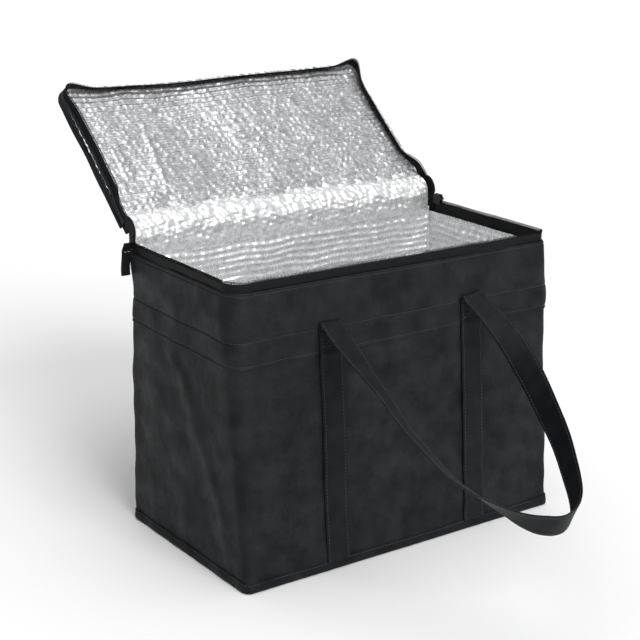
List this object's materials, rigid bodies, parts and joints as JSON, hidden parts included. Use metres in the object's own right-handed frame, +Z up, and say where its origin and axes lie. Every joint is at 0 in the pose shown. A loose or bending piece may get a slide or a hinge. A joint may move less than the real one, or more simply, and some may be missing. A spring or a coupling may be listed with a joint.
{
  "type": "insulated food carrier bag",
  "caption": "Soft box-shaped insulated carrier bag with a foil lining, a zipped lid on a cloth hinge and two webbing handles, shown with its lid open.",
  "frame": {"origin": "middle of the flat base, on the surface that the bag stands on", "axes": "+X to the right along the front, +Y from the front to the back, +Z up"},
  "size_m": [0.4228, 0.6198, 0.4615],
  "materials": {
    "nonwoven_cloth": "matt black spun-bonded non-woven cloth with a fine bonded grain",
    "webbing": "black strap of folded non-woven cloth, stitched along both edges",
    "foam": "white closed-cell sheet foam, unseen inside the walls",
    "foil_lining": "bright ribbed foil-faced film, creased",
    "board": "plain stiffening board, unseen under the lining",
    "zip_tape": "black woven zip tape",
    "zip_coil": "black nylon coil",
    "thread": "black sewing thread",
    "slider_metal": "black enamelled slider with worn bright edges"
  },
  "bodies": {
    "carrier": {"front_panel": "nonwoven_cloth", "front_band": "nonwoven_cloth", "front_foam": "foam", "front_foil": "foil_lining", "back_panel": "nonwoven_cloth", "back_band": "nonwoven_cloth", "back_foam": "foam", "back_foil": "foil_lining", "left_panel": "nonwoven_cloth", "left_band": "nonwoven_cloth", "left_foam": "foam", "left_foil": "foil_lining", "right_panel": "nonwoven_cloth", "right_band": "nonwoven_cloth", "right_foam": "foam", "right_foil": "foil_lining", "base_panel": "nonwoven_cloth", "base_board": "board", "base_foam": "foam", "base_foil": "foil_lining", "base_binding": "nonwoven_cloth", "body_zip_tape": "zip_tape", "body_zip_coil": "zip_coil", "zip_end_stops": "zip_coil", "zip_tail": "zip_tape", "hinge_strip": "nonwoven_cloth", "front_strap_left": "webbing", "front_strap_right": "webbing", "back_strap_left": "webbing", "back_strap_right": "webbing", "strap_tacks": "thread"},
    "lid": {"lid_panel": "nonwoven_cloth", "lid_foam": "foam", "lid_foil": "foil_lining", "lid_skirt": "nonwoven_cloth", "lid_rear_skirt": "nonwoven_cloth", "lid_zip_tape": "zip_tape", "lid_zip_coil": "zip_coil", "lid_edge_binding": "nonwoven_cloth"},
    "front_handle": {"front_handle_loop": "webbing"},
    "back_handle": {"back_handle_loop": "webbing"},
    "zip_slider": {"zip_slider": "slider_metal"},
    "zip_pull": {"zip_pull": "slider_metal"}
  },
  "joints": [
    {"name": "lid_hinge", "type": "hinge", "parent": "carrier", "child": "lid", "pos_m": [0, 0.114, 0.324], "axis": [1, 0, 0], "range_deg": [-40, 140]},
    {"name": "front_handle_swing", "type": "hinge", "parent": "carrier", "child": "front_handle", "pos_m": [0, -0.09667, 0.257], "axis": [-1, 0, 0], "range_deg": [-28, 110]},
    {"name": "back_handle_swing", "type": "hinge", "parent": "carrier", "child": "back_handle", "pos_m": [0, 0.1171, 0.257], "axis": [1, 0, 0], "range_deg": [0, 65]},
    {"name": "zip_slide", "type": "slide", "parent": "carrier", "child": "zip_slider", "axis": [0, -1, 0], "range_m": [0, 0.16]},
    {"name": "pull_swing", "type": "hinge", "parent": "zip_slider", "child": "zip_pull", "pos_m": [0.2062, 0.096, 0.3132], "axis": [0, -1, 0], "range_deg": [0, 120]}
  ]
}
